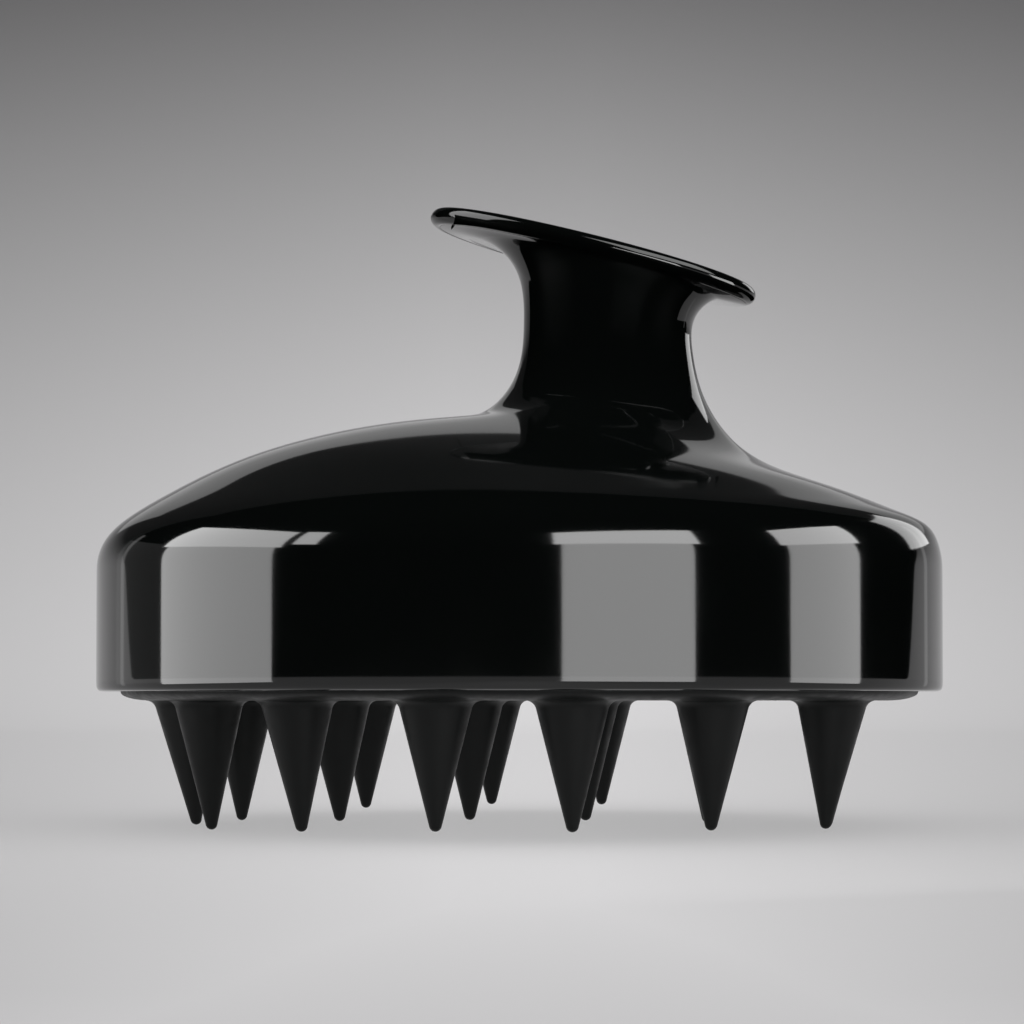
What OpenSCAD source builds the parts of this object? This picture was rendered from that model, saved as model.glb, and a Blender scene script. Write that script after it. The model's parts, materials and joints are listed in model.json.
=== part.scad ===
// Scalp massager brush: an oval shell with an off-centre stem and a tilted finger plate,
// closed underneath by a silicone pad with 18 cone teeth.
// Origin: middle of the footprint, z = 0 at the lowest tooth tips. +X is the long axis.

/* [Body] */
// Length of the oval body
body_length = 81; // [79:0.5:83]
// Depth of the oval body, front to back
body_depth = 72; // [70:0.5:76]
// Height of the skirt's lower edge over the tooth tips
skirt_z = 12.95; // [12.8:0.05:13.1]
// Thickness of the shell's wall
wall = 2; // [1.8:0.1:2.2]

/* [Stem and finger plate] */
// Distance of the stem's axis from the middle of the body, to the right
stem_x = 8.5; // [7.5:0.5:9.5]
// Half depth of the stem at its waist
stem_half_depth = 6.6; // [6.3:0.1:7]
// Half depth of the finger plate
plate_half_depth = 7.35; // [7.2:0.05:8]
// Radius of the finger plate's rolled rim
rim_radius = 0.85; // [0.7:0.05:1]
// Length of the plug that goes down into the stem
plug_length = 7; // [5:0.5:9]

/* [Pad and teeth] */
// Height of the pad's underside
pad_z = 12.1; // [12:0.05:12.2]
// Thickness of the pad and of the plate behind it
sheet = 2; // [1.8:0.1:2]
// Gap between the shell and the pad's rolled lip
lip_gap = 0.3; // [0.2:0.05:0.4]
// Radius of a tooth's round root
root_radius = 3.4; // [3.2:0.05:3.5]
// Radius of a tooth's rounded tip
tip_radius = 0.55; // [0.4:0.05:0.7]

/* [Hidden] */
SEGMENTS = 48;
RINGS_PER_SPAN = 2;
SOCKET_GAP = 0.15;
half_length = body_length / 2;
half_depth = body_depth / 2;

// One loft ring is [left x, left z, right x, right z, half depth, sag of the long sides].
// These rings steer a smooth curve, as the points of a control polygon.
SKIRT_RINGS = [
    [-half_length + 1.9, skirt_z, half_length - 1.9, skirt_z, half_depth - 1.9, 0],
    [-half_length + 0.9, skirt_z, half_length - 0.9, skirt_z, half_depth - 0.9, 0],
    [-half_length, skirt_z, half_length, skirt_z, half_depth, 0],
    [-half_length, skirt_z + 1.2, half_length, skirt_z + 1.2, half_depth, 0],
    [-half_length, skirt_z + 2.6, half_length, skirt_z + 2.6, half_depth, 0],
    [-half_length, 21.6, half_length, 21.6, half_depth, 0]
];
DOME_RINGS = [
    [-half_length, 24.1, half_length, 24.1, half_depth, 0],
    [-half_length, 25.8, half_length, 25.7, half_depth - 0.1, 0],
    [-half_length + 1.2, 28.4, half_length - 0.8, 28.6, half_depth - 1.2, 0],
    [-half_length + 6.2, 31.5, half_length - 3.4, 29.5, half_depth - 5.1, 0],
    [-half_length + 13.8, 35.5, half_length - 8.5, 31.7, half_depth - 10.5, 0],
    [-half_length + 23.9, 38.2, half_length - 14.7, 33.6, half_depth - 17.4, 0],
    [stem_x - 16.9, 39.2, stem_x + 12.3, 36.4, stem_half_depth + 5.4, 0]
];
STEM_RINGS = [
    [stem_x - 11.9, 39.1, stem_x + 9.2, 41.2, stem_half_depth + 1.3, 0],
    [stem_x - 8.2, 43.4, stem_x + 8.4, 45.3, stem_half_depth + 0.1, 0],
    [stem_x - 7.9, 48.6, stem_x + 8.1, 48.4, stem_half_depth, 0],
    [stem_x - 8, 53.5, stem_x + 9.3, 50.3, stem_half_depth + 0.1, 0],
    [stem_x - 10.9, 57, stem_x + 11.2, 51.3, plate_half_depth - 0.7, 0]
];
// The ring where the stem's flare meets the finger plate
SEAM_RING = [stem_x - 16.2, 58.2, stem_x + 13.6, 50.3, plate_half_depth, 0];
OUTER_RINGS = concat(SKIRT_RINGS, DOME_RINGS, STEM_RINGS, [SEAM_RING]);

// The hollow in the stem, which the finger plate's plug fills
STEM_HOLLOW = [stem_x - 6, 55.2, stem_x + 5.8, 52, stem_half_depth - 2.1, 0];
PLUG_TAPER = 0.1;

// Teeth: [x of the tip, y, lean in degrees that sets the root further to the right, height of the tip].
// The end teeth reach lowest and the long sides stand a little higher.
TEETH = [
    [-5.1, -27.2, 0, 0.9], [-17.7, -20.8, -2.2, 0.5], [-28.2, -8.8, -1.5, 0],
    [-4.9, 27.2, 0, 0.9], [-17.7, 20.8, 0, 0.75], [-28.7, 8.8, 0, 0],
    [6.6, -27.2, 0, 0.9], [18.4, -20.8, 1, 0.75], [29, -8.8, 3.2, 0.3],
    [7, 27.2, 0, 0.9], [18.4, 20.8, 1, 0.75], [30.1, 8.8, 3, 0],
    [-31.5, 0, -4.5, 0], [29.6, 0, 2.8, 0],
    [-4.7, 0, 0, 0.55], [-17.4, 0, -1.5, 0.4], [6.5, 0, 0, 0.55], [18.2, 0, 1, 0.4]
];
root_z = pad_z + sheet / 2;

// Screws that hold the carrier plate to the shell's bosses
SCREW_X = 11.6;
SCREW_Y = 15.5;
SCREW_LENGTH = 9;
SCREW_RADIUS = 1.3;
HEAD_RADIUS = 2.4;
HEAD_RIM = 0.3;
HEAD_HEIGHT = 1.2;
BOSS_RADIUS = 2.3;
BOSS_TOP_LEFT = 35.5;
BOSS_TOP_RIGHT = 34.8;

pad_half_length = half_length - wall - lip_gap;
pad_half_depth = half_depth - wall - lip_gap;
pad_top = pad_z + 2 * sheet + 0.7;
carrier_z = pad_z + sheet;
GROOVE_DEPTH = 1.4;
LIP_REACH = 3;
RELIEF_RADIUS = root_radius + 0.35;

// ---- Lofting ----

// Weights of a uniform cubic B-spline at s, from 0 to 1 along one span
function weights(s) = [
    pow(1 - s, 3), 3 * pow(s, 3) - 6 * pow(s, 2) + 4,
    -3 * pow(s, 3) + 3 * pow(s, 2) + 3 * s + 1, pow(s, 3)
] / 6;

// Control rings with one added at each end, so that the curve starts and ends on the given rings
function clamped(rings) = let (last = len(rings) - 1)
    concat([2 * rings[0] - rings[1]], rings, [2 * rings[last] - rings[last - 1]]);

// The smooth run of rings that the control rings steer
function smooth_rings(rings, steps) = let (all = clamped(rings))
    [for (i = [0:len(all) - 4], k = [0:steps - (i == len(all) - 4 ? 0 : 1)])
        let (w = weights(k / steps)) w[0] * all[i] + w[1] * all[i + 1] + w[2] * all[i + 2] + w[3] * all[i + 3]];

// The height of a ring's front point
function front_z(ring) = (ring[1] + ring[3]) / 2 - ring[5];

// Unit vector that points into the wall, to the right of the way from a to b in the plane of a profile
function inward(a, b) = let (d = b - a) [d[1], -d[0]] / norm(d);

// A ring moved into the wall by a distance, using its neighbours for the slopes
function inset_ring(before, ring, after, distance) = let (
    left = inward([before[0], before[1]], [after[0], after[1]]) * distance,
    right = inward([-before[2], before[3]], [-after[2], after[3]]) * distance,
    front = inward([-before[4], front_z(before)], [-after[4], front_z(after)]) * distance,
    left_z = ring[1] + left[1],
    right_z = ring[3] + right[1],
    front_height = front_z(ring) + front[1]
) [ring[0] + left[0], left_z, ring[2] - right[0], right_z, ring[4] - front[0],
    (left_z + right_z) / 2 - front_height];

// The points of one ring, going round its oval
function ring_points(ring) = [for (i = [0:SEGMENTS - 1]) let (turn = 360 * i / SEGMENTS) [
    (ring[0] + ring[2]) / 2 + (ring[2] - ring[0]) / 2 * cos(turn),
    ring[4] * sin(turn),
    (ring[1] + ring[3]) / 2 + (ring[3] - ring[1]) / 2 * cos(turn) - ring[5] * pow(sin(turn), 2)]];

// The middle of a ring's own surface
function ring_middle(ring) = [(ring[0] + ring[2]) / 2, 0, (ring[1] + ring[3]) / 2 - ring[5] / 2];

// Two triangles for each cell between ring i and ring j
function band(i, j) = [for (k = [0:SEGMENTS - 1], half = [0, 1]) let (
    n = (k + 1) % SEGMENTS,
    a = i * SEGMENTS + k, b = i * SEGMENTS + n, c = j * SEGMENTS + n, d = j * SEGMENTS + k
) half == 0 ? [a, c, b] : [a, d, c]];

// A solid skinned over rings from the bottom to the top, with a fan of triangles at each end
module loft(rings) {
    count = len(rings);
    last = (count - 1) * SEGMENTS;
    foot = count * SEGMENTS;
    polyhedron(
        points = concat([for (ring = rings, point = ring_points(ring)) point],
            [ring_middle(rings[0]), ring_middle(rings[count - 1])]),
        faces = concat(
            [for (i = [0:count - 2], face = band(i, i + 1)) face],
            [for (k = [0:SEGMENTS - 1]) [k, (k + 1) % SEGMENTS, foot]],
            [for (k = [0:SEGMENTS - 1]) [last + (k + 1) % SEGMENTS, last + k, foot + 1]]));
}

// A hollow solid skinned over a closed run of rings: up the outside and down the inside
module loft_tube(rings) {
    count = len(rings);
    polyhedron(
        points = [for (ring = rings, point = ring_points(ring)) point],
        faces = [for (i = [0:count - 1], face = band(i, (i + 1) % count)) face]);
}

// A level ring round the body's middle
function oval_ring(rx, ry, z) = [-rx, z, rx, z, ry, 0];

// A flat oval slab
module oval_slab(rx, ry, z0, z1) {
    translate([0, 0, z0])
        linear_extrude(z1 - z0)
            polygon([for (i = [0:2 * SEGMENTS - 1]) let (turn = 180 * i / SEGMENTS)
                [rx * cos(turn), ry * sin(turn)]]);
}

// ---- Shell ----

outer_rings = smooth_rings(OUTER_RINGS, RINGS_PER_SPAN);
// The wall's inside follows the outside up to the foot of the stem, then rises straight through it
FIRST_INNER = 9;
LAST_INNER = 29;
inner_rings = concat(
    [oval_ring(half_length - wall, half_depth - wall, skirt_z)],
    [for (i = [FIRST_INNER:2:LAST_INNER])
        inset_ring(outer_rings[i - 1], outer_rings[i], outer_rings[i + 1], wall)],
    [STEM_HOLLOW]);

// A post from the carrier plate up into the dome's wall, with a blind hole for a screw
module boss(x, y, top) {
    bottom = carrier_z + sheet;
    difference() {
        translate([x, y, bottom]) cylinder(r = BOSS_RADIUS, h = top - bottom, $fn = 32);
        translate([x, y, carrier_z]) cylinder(r = SCREW_RADIUS, h = SCREW_LENGTH, $fn = 32);
    }
}

module upper_shell() color([0.03, 0.03, 0.035]) {
    loft_tube(concat(outer_rings, [for (i = [len(inner_rings) - 1:-1:0]) inner_rings[i]]));
    for (y = [-SCREW_Y, SCREW_Y]) {
        boss(-SCREW_X, y, BOSS_TOP_LEFT);
        boss(SCREW_X, y, BOSS_TOP_RIGHT);
    }
}

// ---- Finger plate ----

// A ring grown outwards and lifted
function grown(ring, out, up) =
    [ring[0] - out, ring[1] + up, ring[2] + out, ring[3] + up, ring[4] + out, ring[5]];

// A ring shrunk towards its own middle, as on a crowned surface
function shrunk(ring, size) = let (x = (ring[0] + ring[2]) / 2, z = (ring[1] + ring[3]) / 2)
    [x + (ring[0] - x) * size, z + (ring[1] - z) * size, x + (ring[2] - x) * size, z + (ring[3] - z) * size,
        ring[4] * size, ring[5] * size * size];

RIM_STEPS = 6;
DISH_STEPS = 3;
DISH_DEPTH = 0.7;
module finger_plate() color([0.03, 0.03, 0.035]) {
    rim = [for (i = [0:RIM_STEPS]) let (turn = 180 * i / RIM_STEPS - 90)
        grown(SEAM_RING, rim_radius * cos(turn), rim_radius * (1 + sin(turn)))];
    dish = [for (i = [1:DISH_STEPS]) let (size = 1 - i / (DISH_STEPS + 0.5))
        grown(shrunk(rim[RIM_STEPS], size), 0, -DISH_DEPTH * (1 - size * size))];
    loft(concat([grown(STEM_HOLLOW, -PLUG_TAPER, -plug_length), STEM_HOLLOW], rim, dish));
}

// ---- Carrier plate and screws ----

module carrier_plate() color([0.12, 0.12, 0.13])
    difference() {
        oval_slab(pad_half_length - GROOVE_DEPTH, pad_half_depth - GROOVE_DEPTH, carrier_z, carrier_z + sheet);
        for (tooth = TEETH)
            translate(root_centre(tooth)) cylinder(r = RELIEF_RADIUS, h = 2 * sheet + 2, $fn = 32);
        screws();
    }

// Four countersunk screws whose heads lie flush with the plate's underside
module screws()
    for (x = [-SCREW_X, SCREW_X], y = [-SCREW_Y, SCREW_Y])
        translate([x, y, carrier_z])
            rotate_extrude($fn = 32)
                polygon([[0, 0], [HEAD_RADIUS, 0], [HEAD_RADIUS, HEAD_RIM], [SCREW_RADIUS, HEAD_HEIGHT],
                    [SCREW_RADIUS, SCREW_LENGTH], [0, SCREW_LENGTH]]);

module plate_screws() color([0.7, 0.7, 0.72]) screws();

// ---- Pad and teeth ----

LIP_WIDTH = 2.9;
LIP_HEIGHT = 0.8;
LIP_STEPS = 4;
module bristle_pad() color([0.05, 0.05, 0.055])
    difference() {
        loft(concat(
            [for (i = [0:LIP_STEPS]) let (turn = 90 * i / LIP_STEPS)
                oval_ring(pad_half_length - LIP_WIDTH * (1 - sin(turn)), pad_half_depth - LIP_WIDTH * (1 - sin(turn)),
                    pad_z + LIP_HEIGHT * (1 - cos(turn)))],
            [oval_ring(pad_half_length, pad_half_depth, pad_top)]));
        oval_slab(pad_half_length - GROOVE_DEPTH, pad_half_depth - GROOVE_DEPTH, carrier_z, carrier_z + sheet);
        oval_slab(pad_half_length - LIP_REACH, pad_half_depth - LIP_REACH, carrier_z + sheet - 0.5, pad_top + 1);
        for (tooth = TEETH)
            translate(root_centre(tooth)) sphere(r = root_radius + SOCKET_GAP, $fn = 48);
    }

// Middle of a tooth's round root, which lies outwards of its tip when the tooth leans in
function root_centre(tooth) = [tooth[0] + (root_z - tooth[3]) * tan(tooth[2]), tooth[1], root_z];

TIP_STEPS = 4;
module tooth(number) color([0.05, 0.05, 0.055]) {
    place = TEETH[number - 1];
    length = (root_z - place[3]) / cos(place[2]);
    cut = sheet / 2;
    neck = sqrt(pow(root_radius, 2) - pow(cut, 2));
    // Slope of the cone's side, from the neck to the tangent of the tip's ball
    slope = atan((neck - tip_radius) / (length - cut - tip_radius));
    translate(root_centre(place)) rotate([0, place[2], 0])
        rotate_extrude($fn = 48)
            polygon(concat(
                [[0, -length]],
                [for (i = [1:TIP_STEPS]) let (turn = (90 - slope) * i / TIP_STEPS)
                    [tip_radius * sin(turn), -length + tip_radius * (1 - cos(turn))]],
                [for (z = [-cut:cut / 3:cut]) [sqrt(pow(root_radius, 2) - pow(z, 2)), z]],
                [[0, cut]]));
}

upper_shell();
finger_plate();
carrier_plate();
bristle_pad();
plate_screws();
tooth(1);  // tooth_01
tooth(2);  // tooth_02
tooth(3);  // tooth_03
tooth(4);  // tooth_04
tooth(5);  // tooth_05
tooth(6);  // tooth_06
tooth(7);  // tooth_07
tooth(8);  // tooth_08
tooth(9);  // tooth_09
tooth(10);  // tooth_10
tooth(11);  // tooth_11
tooth(12);  // tooth_12
tooth(13);  // tooth_13
tooth(14);  // tooth_14
tooth(15);  // tooth_15
tooth(16);  // tooth_16
tooth(17);  // tooth_17
tooth(18);  // tooth_18
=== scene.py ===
import json
import math

import bpy
import numpy as np
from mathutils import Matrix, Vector


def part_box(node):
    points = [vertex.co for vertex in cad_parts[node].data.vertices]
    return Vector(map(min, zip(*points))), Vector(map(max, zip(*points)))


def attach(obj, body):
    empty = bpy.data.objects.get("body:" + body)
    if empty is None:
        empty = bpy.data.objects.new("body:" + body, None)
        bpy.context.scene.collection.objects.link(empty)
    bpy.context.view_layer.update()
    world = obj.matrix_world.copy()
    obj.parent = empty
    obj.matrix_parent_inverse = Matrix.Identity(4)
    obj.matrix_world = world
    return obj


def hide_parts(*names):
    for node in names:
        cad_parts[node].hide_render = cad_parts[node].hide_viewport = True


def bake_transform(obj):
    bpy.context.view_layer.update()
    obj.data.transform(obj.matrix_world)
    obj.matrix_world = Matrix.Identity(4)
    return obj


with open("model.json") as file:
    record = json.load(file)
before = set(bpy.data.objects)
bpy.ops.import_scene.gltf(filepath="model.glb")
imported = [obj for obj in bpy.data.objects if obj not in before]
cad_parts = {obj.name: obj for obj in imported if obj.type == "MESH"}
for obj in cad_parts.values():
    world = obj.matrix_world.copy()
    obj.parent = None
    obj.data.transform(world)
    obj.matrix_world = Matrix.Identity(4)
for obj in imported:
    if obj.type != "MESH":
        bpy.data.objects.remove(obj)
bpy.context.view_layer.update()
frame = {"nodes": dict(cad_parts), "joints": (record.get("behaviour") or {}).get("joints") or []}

MM = 0.001
BODY = "brush_body"


# ---- Camera: level with the pad, close in, a little to the right of the front ----

CAMERA_AZIMUTH = math.radians(4.2)
CAMERA_DISTANCE = 230 * MM
CAMERA_HEIGHT = 12.1 * MM
CAMERA_PITCH = math.radians(1.5)
SENSOR_WIDTH = 36
LENS = 83.55
HORIZON_DROP = 0.1841          # how far below the frame's middle the horizon lies, in frame widths
SIDE_SHIFT = -0.0062


def make_camera():
    data = bpy.data.cameras.new("camera")
    data.sensor_width = SENSOR_WIDTH
    data.lens = LENS
    data.clip_start, data.clip_end = 0.01, 50
    tilt_drop = math.tan(CAMERA_PITCH) * LENS / SENSOR_WIDTH
    data.shift_x, data.shift_y = SIDE_SHIFT, HORIZON_DROP - tilt_drop
    camera = bpy.data.objects.new("camera", data)
    bpy.context.scene.collection.objects.link(camera)
    camera.location = (CAMERA_DISTANCE * math.sin(CAMERA_AZIMUTH),
                       -CAMERA_DISTANCE * math.cos(CAMERA_AZIMUTH), CAMERA_HEIGHT)
    camera.rotation_euler = (math.pi / 2 + CAMERA_PITCH, 0, CAMERA_AZIMUTH)
    bpy.context.scene.camera = camera


make_camera()
bpy.context.scene.view_settings.view_transform = "Standard"


# ---- Lofting: a ring is [left x, left z, right x, right z, half depth, sag of the long sides], in mm ----

def smooth_rings(control, steps):
    """The rings that control rings steer as a uniform cubic B-spline, through the first and the last."""
    control = np.array(control, float)
    control = np.vstack([2 * control[0] - control[1], control, 2 * control[-1] - control[-2]])
    rings = []
    for i in range(len(control) - 3):
        for k in range(steps + (i == len(control) - 4)):
            s = k / steps
            weights = np.array([(1 - s) ** 3, 3 * s ** 3 - 6 * s ** 2 + 4,
                                -3 * s ** 3 + 3 * s ** 2 + 3 * s + 1, s ** 3]) / 6
            rings.append(weights @ control[i:i + 4])
    return np.array(rings)


def front_height(ring):
    return (ring[1] + ring[3]) / 2 - ring[5]


def inset_ring(before, ring, after, distance):
    """A ring moved into the wall by a distance, with its slopes read from its neighbours."""
    def inward(x0, z0, x1, z1):
        step = np.array([x1 - x0, z1 - z0])
        return np.array([step[1], -step[0]]) / np.linalg.norm(step) * distance
    left = inward(before[0], before[1], after[0], after[1])
    right = inward(-before[2], before[3], -after[2], after[3])
    front = inward(-before[4], front_height(before), -after[4], front_height(after))
    left_z, right_z = ring[1] + left[1], ring[3] + right[1]
    return np.array([ring[0] + left[0], left_z, ring[2] - right[0], right_z, ring[4] - front[0],
                     (left_z + right_z) / 2 - front_height(ring) - front[1]])


def grown(ring, out, up):
    """A ring grown outwards and lifted."""
    return np.array([ring[0] - out, ring[1] + up, ring[2] + out, ring[3] + up, ring[4] + out, ring[5]])


def shrunk(ring, size):
    """A ring shrunk towards its own middle, as on a crowned surface."""
    x, z = (ring[0] + ring[2]) / 2, (ring[1] + ring[3]) / 2
    return np.array([x + (ring[0] - x) * size, z + (ring[1] - z) * size, x + (ring[2] - x) * size,
                     z + (ring[3] - z) * size, ring[4] * size, ring[5] * size * size])


def oval_ring(half_x, half_y, z):
    return np.array([-half_x, z, half_x, z, half_y, 0])


def ring_points(ring, segments):
    turn = np.arange(segments) * 2 * math.pi / segments
    x = (ring[0] + ring[2]) / 2 + (ring[2] - ring[0]) / 2 * np.cos(turn)
    z = (ring[1] + ring[3]) / 2 + (ring[3] - ring[1]) / 2 * np.cos(turn) - ring[5] * np.sin(turn) ** 2
    return np.stack([x, ring[4] * np.sin(turn), z], 1) * MM


def new_object(name, points, faces, material):
    mesh = bpy.data.meshes.new(name)
    mesh.from_pydata(points, [], faces)
    mesh.materials.append(material)
    mesh.polygons.foreach_set("use_smooth", [True] * len(faces))
    mesh.update()
    thing = bpy.data.objects.new(name, mesh)
    bpy.context.scene.collection.objects.link(thing)
    return thing


def skin(name, rows, material, tube=False):
    """A smooth closed mesh over rows of points: capped at both ends, or joined end to end as a tube."""
    count, segments = len(rows), len(rows[0])
    points = [tuple(p) for row in rows for p in row]
    pairs = [(i, (i + 1) % count) for i in range(count if tube else count - 1)]
    faces = [(i * segments + k, i * segments + (k + 1) % segments,
              j * segments + (k + 1) % segments, j * segments + k)
             for i, j in pairs for k in range(segments)]
    if not tube:
        for row, flip in ((0, True), (count - 1, False)):
            middle = len(points)
            points.append(tuple(np.mean(rows[row], 0)))
            for k in range(segments):
                a, b = row * segments + k, row * segments + (k + 1) % segments
                faces.append((b, a, middle) if flip else (a, b, middle))
    return new_object(name, points, faces, material)


def add_piece(piece, node):
    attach(piece, BODY)
    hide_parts(node)


# ---- Materials ----

NOISE_SPAN = (0.3, 0.7)        # the part of a noise's factor that its values mostly fill


def new_material(name, color, roughness):
    material = bpy.data.materials.new(name)
    material.use_nodes = True
    shader = material.node_tree.nodes["Principled BSDF"]
    shader.inputs["Base Color"].default_value = (*color, 1)
    shader.inputs["Roughness"].default_value = roughness
    return material, material.node_tree, shader


def noise_node(tree, scale, detail, seed_offset):
    """Noise in object space, moved along by an offset so that no two noises match."""
    coordinates = tree.nodes.new("ShaderNodeTexCoord")
    shift = tree.nodes.new("ShaderNodeMapping")
    shift.inputs["Location"].default_value = (seed_offset, seed_offset * 0.7, seed_offset * 1.3)
    noise = tree.nodes.new("ShaderNodeTexNoise")
    noise.inputs["Scale"].default_value = scale
    noise.inputs["Detail"].default_value = detail
    tree.links.new(coordinates.outputs["Object"], shift.inputs["Vector"])
    tree.links.new(shift.outputs["Vector"], noise.inputs["Vector"])
    return noise


def map_range(tree, source, from_low, from_high, to_low, to_high):
    node = tree.nodes.new("ShaderNodeMapRange")
    node.inputs["From Min"].default_value = from_low
    node.inputs["From Max"].default_value = from_high
    node.inputs["To Min"].default_value = to_low
    node.inputs["To Max"].default_value = to_high
    tree.links.new(source, node.inputs["Value"])
    return node.outputs["Result"]


def spread(tree, source, low, high, socket):
    """Drives a socket between two values by a noise's factor."""
    tree.links.new(map_range(tree, source.outputs["Fac"], *NOISE_SPAN, low, high), socket)


def bump(tree, shader, source, distance, strength):
    node = tree.nodes.new("ShaderNodeBump")
    node.inputs["Distance"].default_value = distance
    node.inputs["Strength"].default_value = strength
    tree.links.new(source.outputs["Fac"], node.inputs["Height"])
    previous = shader.inputs["Normal"].links
    if previous:
        tree.links.new(previous[0].from_socket, node.inputs["Normal"])
    tree.links.new(node.outputs["Normal"], shader.inputs["Normal"])


def gloss_plastic():
    """Polished black ABS: a mirror-like skin with faint flow marks and uneven wear."""
    material, tree, shader = new_material("gloss_abs", (0.002, 0.0026, 0.0024), 0.06)
    shader.inputs["IOR"].default_value = 1.52
    spread(tree, noise_node(tree, 60, 4, 3.1), 0.045, 0.085, shader.inputs["Roughness"])
    bump(tree, shader, noise_node(tree, 45, 2, 7.7), 0.00006, 0.25)
    return material


def silicone():
    """Black moulded silicone: satin, with a fine grain and a dusty bloom."""
    material, tree, shader = new_material("black_silicone", (0.0045, 0.0052, 0.005), 0.42)
    shader.inputs["IOR"].default_value = 1.43
    shader.inputs["Specular IOR Level"].default_value = 0.22
    spread(tree, noise_node(tree, 900, 3, 1.9), 0.34, 0.5, shader.inputs["Roughness"])
    bump(tree, shader, noise_node(tree, 2600, 3, 5.3), 0.00003, 0.3)
    return material


def matte_plastic():
    """Unpolished dark ABS with a spark-eroded grain."""
    material, tree, shader = new_material("inner_abs", (0.045, 0.045, 0.05), 0.5)
    spread(tree, noise_node(tree, 400, 4, 2.2), 0.42, 0.6, shader.inputs["Roughness"])
    bump(tree, shader, noise_node(tree, 1800, 3, 4.4), 0.00003, 0.5)
    return material


def zinc_steel():
    """Zinc-plated screw steel with a blotchy bright finish."""
    material, tree, shader = new_material("zinc_steel", (0.6, 0.6, 0.62), 0.3)
    shader.inputs["Metallic"].default_value = 1
    spread(tree, noise_node(tree, 700, 4, 8.8), 0.2, 0.42, shader.inputs["Roughness"])
    bump(tree, shader, noise_node(tree, 2400, 2, 6.1), 0.00002, 0.4)
    return material


GLOSS = gloss_plastic()
SILICONE = silicone()
INNER = matte_plastic()
STEEL = zinc_steel()
for node, material in (("carrier_plate", INNER), ("plate_screws", STEEL)):
    frame["nodes"][node].data.materials.clear()
    frame["nodes"][node].data.materials.append(material)


# ---- Shell and finger plate ----

SEGMENTS = 192                 # points round each ring
STEPS = 8                      # rings from one control ring to the next
shell_low, shell_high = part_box("upper_shell")
pad_low, pad_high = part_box("bristle_pad")
plate_low, plate_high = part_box("finger_plate")
half_length = shell_high.x / MM
half_depth = shell_high.y / MM
skirt_z = shell_low.z / MM
WALL = 2
RIM_RADIUS = 0.85
PLATE_OFFSET = 1.3             # how far the plate's middle lies to the left of the stem's
stem_x = (plate_low.x + plate_high.x) / 2 / MM + PLATE_OFFSET
plate_half_depth = plate_high.y / MM - RIM_RADIUS
STEM_HALF_DEPTH = 6.6

SEAM_RING = [stem_x - 16.2, 58.2, stem_x + 13.6, 50.3, plate_half_depth, 0]
STEM_HOLLOW = [stem_x - 6, 55.2, stem_x + 5.8, 52, STEM_HALF_DEPTH - 2.1, 0]
OUTER_RINGS = [
    oval_ring(half_length - 1.9, half_depth - 1.9, skirt_z),
    oval_ring(half_length - 0.9, half_depth - 0.9, skirt_z),
    oval_ring(half_length, half_depth, skirt_z),
    oval_ring(half_length, half_depth, skirt_z + 1.2),
    oval_ring(half_length, half_depth, skirt_z + 2.6),
    oval_ring(half_length, half_depth, 21.6),
    oval_ring(half_length, half_depth, 24.1),
    [-half_length, 25.8, half_length, 25.7, half_depth - 0.1, 0],
    [-half_length + 1.2, 28.4, half_length - 0.8, 28.6, half_depth - 1.2, 0],
    [-half_length + 6.2, 31.5, half_length - 3.4, 29.5, half_depth - 5.1, 0],
    [-half_length + 13.8, 35.5, half_length - 8.5, 31.7, half_depth - 10.5, 0],
    [-half_length + 23.9, 38.2, half_length - 14.7, 33.6, half_depth - 17.4, 0],
    [stem_x - 16.9, 39.2, stem_x + 12.3, 36.4, STEM_HALF_DEPTH + 5.4, 0],
    [stem_x - 11.9, 39.1, stem_x + 9.2, 41.2, STEM_HALF_DEPTH + 1.3, 0],
    [stem_x - 8.2, 43.4, stem_x + 8.4, 45.3, STEM_HALF_DEPTH + 0.1, 0],
    [stem_x - 7.9, 48.6, stem_x + 8.1, 48.4, STEM_HALF_DEPTH, 0],
    [stem_x - 8, 53.5, stem_x + 9.3, 50.3, STEM_HALF_DEPTH + 0.1, 0],
    [stem_x - 10.9, 57, stem_x + 11.2, 51.3, plate_half_depth - 0.7, 0],
    SEAM_RING,
]
SEAM_EDGE = 0.1                # small radius that makes the seam under the rim show as a fine line
SEAM_DROP = 0.02
INNER_START, INNER_END = 4, 14.5     # the control rings between which the wall's inside follows its outside
SKIRT_EDGE = 0.05              # small radius inside the skirt's lower edge
SKIRT_LAND = 0.2
PLUG_TAPER = 0.1
PLUG_LENGTH = 7
RIM_STEPS = 20
DISH_DEPTH = 0.7
DISH_STEPS = 24
DISH_MIDDLE = 0.02             # size of the dish's smallest ring, against its rim


def make_shell():
    outer = smooth_rings(OUTER_RINGS, STEPS)
    skirt = oval_ring(half_length - WALL, half_depth - WALL, skirt_z)
    inner = [grown(skirt, -SKIRT_EDGE, SKIRT_EDGE), grown(skirt, 0, SKIRT_LAND)]
    inner += [inset_ring(outer[i - 1], outer[i], outer[i + 1], WALL)
              for i in range(INNER_START * STEPS, int(INNER_END * STEPS) + 1, STEPS // 2)]
    inner.append(STEM_HOLLOW)
    edge = [grown(outer[-1], -SEAM_EDGE * 0.3, 0), grown(outer[-1], -SEAM_EDGE, -SEAM_DROP)]
    rings = list(outer[:-1]) + edge + inner[::-1]
    piece = skin("shell_moulding", [ring_points(ring, SEGMENTS) for ring in rings], GLOSS, tube=True)
    add_piece(piece, "upper_shell")


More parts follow.
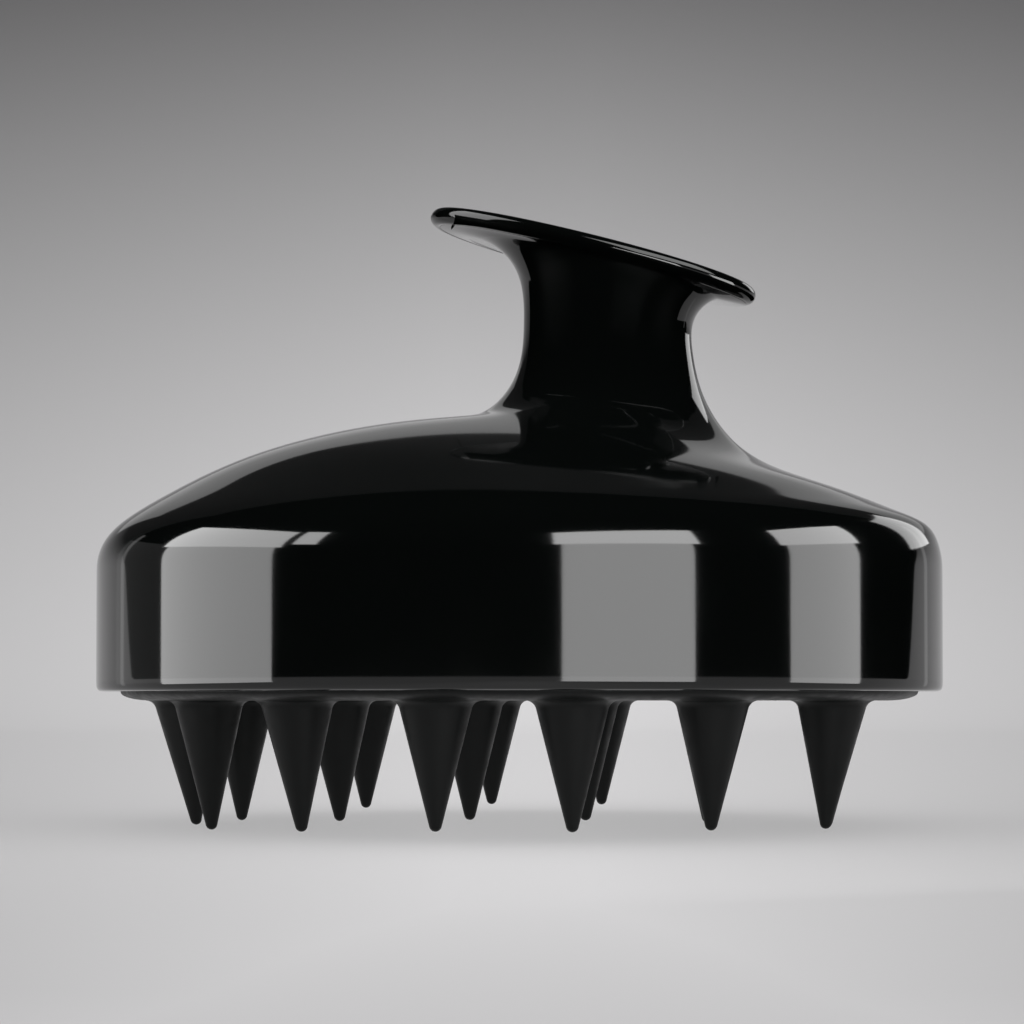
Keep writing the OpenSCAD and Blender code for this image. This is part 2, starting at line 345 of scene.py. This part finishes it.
def make_finger_plate():
    seam = np.array(SEAM_RING)
    under = [grown(STEM_HOLLOW, -PLUG_TAPER, -PLUG_LENGTH), np.array(STEM_HOLLOW),
             grown(seam, -SEAM_EDGE, 0), grown(seam, -SEAM_EDGE / 2, SEAM_DROP / 2)]
    rim = [grown(seam, RIM_RADIUS * math.cos(turn), RIM_RADIUS * (1 + math.sin(turn)))
           for turn in np.linspace(-math.pi / 2, math.pi / 2, RIM_STEPS + 1)]
    dish = [grown(shrunk(rim[-1], size), 0, -DISH_DEPTH * (1 - size * size))
            for size in np.linspace(1, DISH_MIDDLE, DISH_STEPS)[1:]]
    rings = under + rim + dish
    piece = skin("finger_plate_moulding", [ring_points(ring, SEGMENTS) for ring in rings], GLOSS)
    add_piece(piece, "finger_plate")
    return piece


make_shell()
plate = make_finger_plate()


# ---- Silicone pad and teeth ----

pad_z = pad_low.z / MM
pad_half_length = pad_high.x / MM
pad_half_depth = pad_high.y / MM
LIP_WIDTH = 2.9
LIP_HEIGHT = 0.8
LIP_STEPS = 12
FLAT_STEPS = 14
RIM_EDGE = 0.3
TIP_RADIUS = 0.55
TIP_START = 0.08               # turn at the tip's first ring, in radians
TIP_STEPS = 9
ROOT_RADIUS = 3.25
CONE_STEPS = 24
FILLET = 0.7
FILLET_STEPS = 10
ROOT_TUCK = 0.6                # how far a tooth reaches into the pad
ROOT_FLARE = 0.02
TOOTH_SEGMENTS = 64
BEND_START = 0.1               # how far below the pad a point on a tooth's root axis is set


def make_pad():
    top = pad_high.z / MM
    flat = [oval_ring((pad_half_length - LIP_WIDTH) * size, (pad_half_depth - LIP_WIDTH) * size, pad_z)
            for size in np.linspace(0.05, 0.97, FLAT_STEPS)]
    lip = [oval_ring(pad_half_length - LIP_WIDTH * (1 - math.sin(turn)),
                     pad_half_depth - LIP_WIDTH * (1 - math.sin(turn)),
                     pad_z + LIP_HEIGHT * (1 - math.cos(turn)))
           for turn in np.linspace(0, math.pi / 2, LIP_STEPS + 1)]
    rim = [oval_ring(pad_half_length, pad_half_depth, top - RIM_EDGE),
           oval_ring(pad_half_length - RIM_EDGE, pad_half_depth - RIM_EDGE, top)]
    piece = skin("pad_moulding", [ring_points(ring, SEGMENTS) for ring in flat + lip + rim], SILICONE)
    add_piece(piece, "bristle_pad")


def tooth_profile(length):
    """Radius and height over the tip, from the tip's ball up the cone to the fillet that meets the pad."""
    slope = math.atan((ROOT_RADIUS - TIP_RADIUS) / (length - TIP_RADIUS))
    profile = [(TIP_RADIUS * math.sin(turn), TIP_RADIUS * (1 - math.cos(turn)))
               for turn in np.linspace(TIP_START, math.pi / 2 - slope, TIP_STEPS)]
    foot = length - FILLET
    start = profile[-1]
    cone_top = (start[0] + (foot - start[1]) * math.tan(slope), foot)
    profile += [(start[0] + (cone_top[0] - start[0]) * s, start[1] + (foot - start[1]) * s)
                for s in np.linspace(0, 1, CONE_STEPS)[1:]]
    turn = math.pi / 2 - slope
    radius = FILLET / (1 - math.sin(slope))
    profile += [(cone_top[0] + radius * (math.cos(slope) - math.cos(slope + angle)),
                 foot + radius * (math.sin(slope + angle) - math.sin(slope)))
                for angle in np.linspace(0, turn, FILLET_STEPS)[1:]]
    profile.append((profile[-1][0] + ROOT_FLARE, length + ROOT_TUCK))
    return profile


def make_tooth(joint):
    """A cone tooth along the CAD tooth's axis."""
    node = joint["child"]
    root = np.array(joint["pos_m"]) / MM
    points = [v.co for v in frame["nodes"][node].data.vertices]
    tip = np.array(min(points, key=lambda p: p.z)) / MM
    tip[1] = root[1]
    per_height = (root - tip) / (root[2] - tip[2])
    turn = np.arange(TOOTH_SEGMENTS) * 2 * math.pi / TOOTH_SEGMENTS
    circle = np.stack([np.cos(turn), np.sin(turn), np.zeros_like(turn)], 1)
    rows = [(tip + per_height * height + circle * radius) * MM
            for radius, height in tooth_profile(pad_z - tip[2])]
    piece = skin(node + "_moulding", rows, SILICONE)
    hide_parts(node)
    start = Vector(root * MM)
    start.z = (pad_z - BEND_START) * MM
    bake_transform(piece)


make_pad()
for joint in frame["joints"]:
    make_tooth(joint)


# ---- Studio, in metres for the sweep and in mm for the panels ----

PAPER = (0.755, 0.75, 0.755)
PAPER_ROUGHNESS = 0.85
PAPER_SPECULAR = 0.1
PAINTED_SHADE_HEIGHT = 0.6              # up to this height the backdrop darkens with painted shade
PAINTED_TOP_SHADE = 0.07                # how bright the paper is there under the painted shade, against the floor
PAINTED_SIDE_SHADE = 0.78               # how bright the paper is beside its painted lighter fan, against inside the fan: painted shade
PAINTED_FAN_START = 0.23               # the painted fan of light opens backwards from this far in front of the brush
PAINTED_FAN_DEPTH = 0.1                # the shortest depth that its sides are measured over
PAINTED_FAN_SIDE = (0.03, 0.22)        # where its soft sides start and end, as a share of its depth
PAINTED_FAN_FRONT = (-0.17, -0.09)     # where it fades out in front of the brush
FLOOR_HALF_WIDTH = 6
BACKDROP_HALF_WIDTH = 1.6
BACKDROP_Y = 1.3
BACKDROP_TOP = 2
BACKDROP_BEND = 0.6
BACKDROP_STEPS = 49

STRIP_LOW, STRIP_HIGH = 6, 40
STRIP_TOP_EXTRA = 5            # how much wider a strip's upper part is
STRIP_TOP_GAIN = 1.55          # how much brighter it is
STRIPS = (                     # name, x, y, azimuth, width, top, radiance
    ("left", -73.3, -39.5, -79, 46.7, 68, 4.3),
    ("front", 35.4, -78.3, 28.7, 40.1, 60, 5.2),
    ("right", 78, -30.3, 85.4, 28.9, 60, 4.5),
)
PLATE_CARDS = (                # name, middle, azimuth, tilt, size, radiance
    ("rim_left", (-76.5, -35.8, 121), -67, 38, (77, 125), 3.6),
    ("rim_right", (65.8, -62.8, 118), 41, 40, (93, 73), 3.6),
)
CARDS = (
    ("left_tongue", (-54.1, -64.1, 51), -51.5, 0, (8, 20), 6.7),
    ("left_thread", (-84.7, 13.7, 30), -123, 0, (3, 50), 0.4),
    ("right_thread", (77.2, 32.5, 30), 139, 0, (3.5, 50), 0.3),
    ("left_haze", (-100, 6, 30), -112, 0, (44, 44), 0.13),
    ("back", (0, 1150, 545), 180, 25, (1500, 370), 0.37),
    ("right_window", (698, 749, 433), 137, 21.5, (388, 448), 2.2),
)

SCREEN_RADIUS = 15
SCREEN_TURNS = (-178, 6)       # degrees round the stem, with the front at -90
SCREEN_STEPS = 47
SCREEN_FOOT = 30
SCREEN_WING = math.radians(76)       # the screen's foot is raised beyond this turn from the front
SCREEN_WING_FOOT = 49.5
SCREEN_OVER_SEAM = 0.8

FILL_STRENGTH = 2.07
FILL_SPREAD = math.radians(30)
FILL_TILT = math.radians(27)
WORLD_COLOR = (0.36, 0.355, 0.36, 1)


def maths(tree, operation, first, second=None):
    node = tree.nodes.new("ShaderNodeMath")
    node.operation = operation
    for socket, source in zip(node.inputs, (first, second)):
        if isinstance(source, float):
            socket.default_value = source
        elif source is not None:
            tree.links.new(source, socket)
    return node.outputs[0]


def stage_material():
    """Pale paper with painted shade: it falls away to grey up the backdrop, and beside a painted lighter
    fan under the brush.
    """
    material, tree, shader = new_material("pale_paper", PAPER, PAPER_ROUGHNESS)
    shader.inputs["Specular IOR Level"].default_value = PAPER_SPECULAR
    place = tree.nodes.new("ShaderNodeTexCoord")
    axes = tree.nodes.new("ShaderNodeSeparateXYZ")
    tree.links.new(place.outputs["Object"], axes.inputs["Vector"])
    # painted shade: the paper's colour darkens up the backdrop
    up = map_range(tree, axes.outputs["Z"], 0, PAINTED_SHADE_HEIGHT, 1, PAINTED_TOP_SHADE)
    # painted light and shade: a lighter fan on the paper under the brush, darker paper beside it
    depth = maths(tree, "MAXIMUM", maths(tree, "ADD", axes.outputs["Y"], PAINTED_FAN_START), PAINTED_FAN_DEPTH)
    aside = maths(tree, "DIVIDE", maths(tree, "ABSOLUTE", axes.outputs["X"]), depth)
    front = map_range(tree, axes.outputs["Y"], *PAINTED_FAN_FRONT, PAINTED_FAN_SIDE[1], PAINTED_FAN_SIDE[0])
    side = map_range(tree, maths(tree, "MAXIMUM", aside, front), *PAINTED_FAN_SIDE, 1, PAINTED_SIDE_SHADE)
    paint = tree.nodes.new("ShaderNodeVectorMath")
    paint.operation = "SCALE"
    paint.inputs[0].default_value = PAPER
    tree.links.new(maths(tree, "MULTIPLY", up, side), paint.inputs["Scale"])
    tree.links.new(paint.outputs[0], shader.inputs["Base Color"])
    return material


def make_sweep():
    """Pale floor with a backdrop that rises from it behind the brush."""
    profile = [(BACKDROP_Y - BACKDROP_BEND * (1 - math.sin(turn)), BACKDROP_BEND * (1 - math.cos(turn)))
               for turn in np.linspace(0, math.pi / 2, BACKDROP_STEPS)]
    profile.append((BACKDROP_Y, BACKDROP_TOP))
    points = [(x, y, z) for y, z in profile for x in (-BACKDROP_HALF_WIDTH, BACKDROP_HALF_WIDTH)]
    faces = [(2 * i, 2 * i + 1, 2 * i + 3, 2 * i + 2) for i in range(len(profile) - 1)]
    corner = len(points)
    sides = (-FLOOR_HALF_WIDTH, FLOOR_HALF_WIDTH)
    points += [(x, y, 0) for y in sides for x in sides]
    faces.append((corner, corner + 1, corner + 3, corner + 2))
    sweep = new_object("sweep", points, faces, stage_material())
    sweep.rotation_euler.z = CAMERA_AZIMUTH


def card(name, middle, azimuth, tilt, size, radiance):
    """A soft panel seen only as a reflection. It stands off from the brush towards an azimuth, 0 being the
    front and positive to the right, and leans over it by a tilt."""
    data = bpy.data.lights.new(name, "AREA")
    data.shape = "RECTANGLE"
    data.size, data.size_y = size[0] * MM, size[1] * MM
    data.energy = radiance * math.pi * data.size * data.size_y
    light = bpy.data.objects.new(name, data)
    bpy.context.scene.collection.objects.link(light)
    a, e = math.radians(azimuth), math.radians(tilt)
    away = Vector((math.sin(a) * math.cos(e), -math.cos(a) * math.cos(e), math.sin(e)))
    light.location = Vector(middle) * MM
    light.rotation_euler = away.to_track_quat("Z", "Y").to_euler()
    light.visible_camera = False
    light.visible_diffuse = False
    return light


def make_cards(plate):
    for name, x, y, azimuth, width, top, radiance in STRIPS:
        card(name + "_strip", (x, y, (STRIP_LOW + STRIP_HIGH) / 2), azimuth, 0,
             (width, STRIP_HIGH - STRIP_LOW), radiance)
        card(name + "_strip_top", (x, y, (STRIP_HIGH + top) / 2), azimuth, 0,
             (width + STRIP_TOP_EXTRA, top - STRIP_HIGH), radiance * STRIP_TOP_GAIN)
    plate_only = bpy.data.collections.new("plate_only")
    plate_only.objects.link(plate)
    for values in PLATE_CARDS:
        card(*values).light_linking.receiver_collection = plate_only
    for values in CARDS:
        card(*values)


def screen_material():
    """Black on the back of each face and clear on its front."""
    material = bpy.data.materials.new("black_screen")
    material.use_nodes = True
    tree = material.node_tree
    tree.nodes.clear()
    output = tree.nodes.new("ShaderNodeOutputMaterial")
    side = tree.nodes.new("ShaderNodeNewGeometry")
    mix = tree.nodes.new("ShaderNodeMixShader")
    black = tree.nodes.new("ShaderNodeBsdfDiffuse")
    black.inputs["Color"].default_value = (0, 0, 0, 1)
    clear = tree.nodes.new("ShaderNodeBsdfTransparent")
    tree.links.new(side.outputs["Backfacing"], mix.inputs["Fac"])
    tree.links.new(clear.outputs[0], mix.inputs[1])
    tree.links.new(black.outputs[0], mix.inputs[2])
    tree.links.new(mix.outputs[0], output.inputs["Surface"])
    return material


def make_screen():
    """A black half-round screen close round the front of the stem. It is seen only from its inside, as a
    reflection, and keeps the strips out of the stem."""
    turns = np.radians(np.linspace(*SCREEN_TURNS, SCREEN_STEPS))
    slope = (SEAM_RING[3] - SEAM_RING[1]) / (SEAM_RING[2] - SEAM_RING[0])
    circle = [(stem_x + SCREEN_RADIUS * math.cos(turn), SCREEN_RADIUS * math.sin(turn)) for turn in turns]
    feet = [SCREEN_WING_FOOT if abs(turn + math.pi / 2) > SCREEN_WING else SCREEN_FOOT for turn in turns]
    tops = [SEAM_RING[1] + slope * (x - SEAM_RING[0]) + SCREEN_OVER_SEAM for x, _ in circle]
    points = [(x * MM, y * MM, z * MM) for heights in (feet, tops) for (x, y), z in zip(circle, heights)]
    faces = [(k, k + 1, SCREEN_STEPS + k + 1, SCREEN_STEPS + k) for k in range(SCREEN_STEPS - 1)]
    screen = new_object("screen", points, faces, screen_material())
    screen.visible_camera = False
    screen.visible_diffuse = False
    screen.visible_shadow = False
    screen.visible_transmission = False


def make_room_light():
    """Even light on the paper, the fill without shadows, and nothing of it mirrored in the gloss."""
    data = bpy.data.lights.new("fill", "SUN")
    data.energy = FILL_STRENGTH
    data.angle = FILL_SPREAD
    data.use_shadow = False
    fill = bpy.data.objects.new("fill", data)
    bpy.context.scene.collection.objects.link(fill)
    fill.rotation_euler = (FILL_TILT, 0, CAMERA_AZIMUTH)
    fill.visible_glossy = False
    world = bpy.data.worlds.new("studio")
    bpy.context.scene.world = world
    world.use_nodes = True
    world.node_tree.nodes["Background"].inputs["Color"].default_value = WORLD_COLOR
    world.cycles_visibility.glossy = False


make_sweep()
make_cards(plate)
make_screen()
make_room_light()
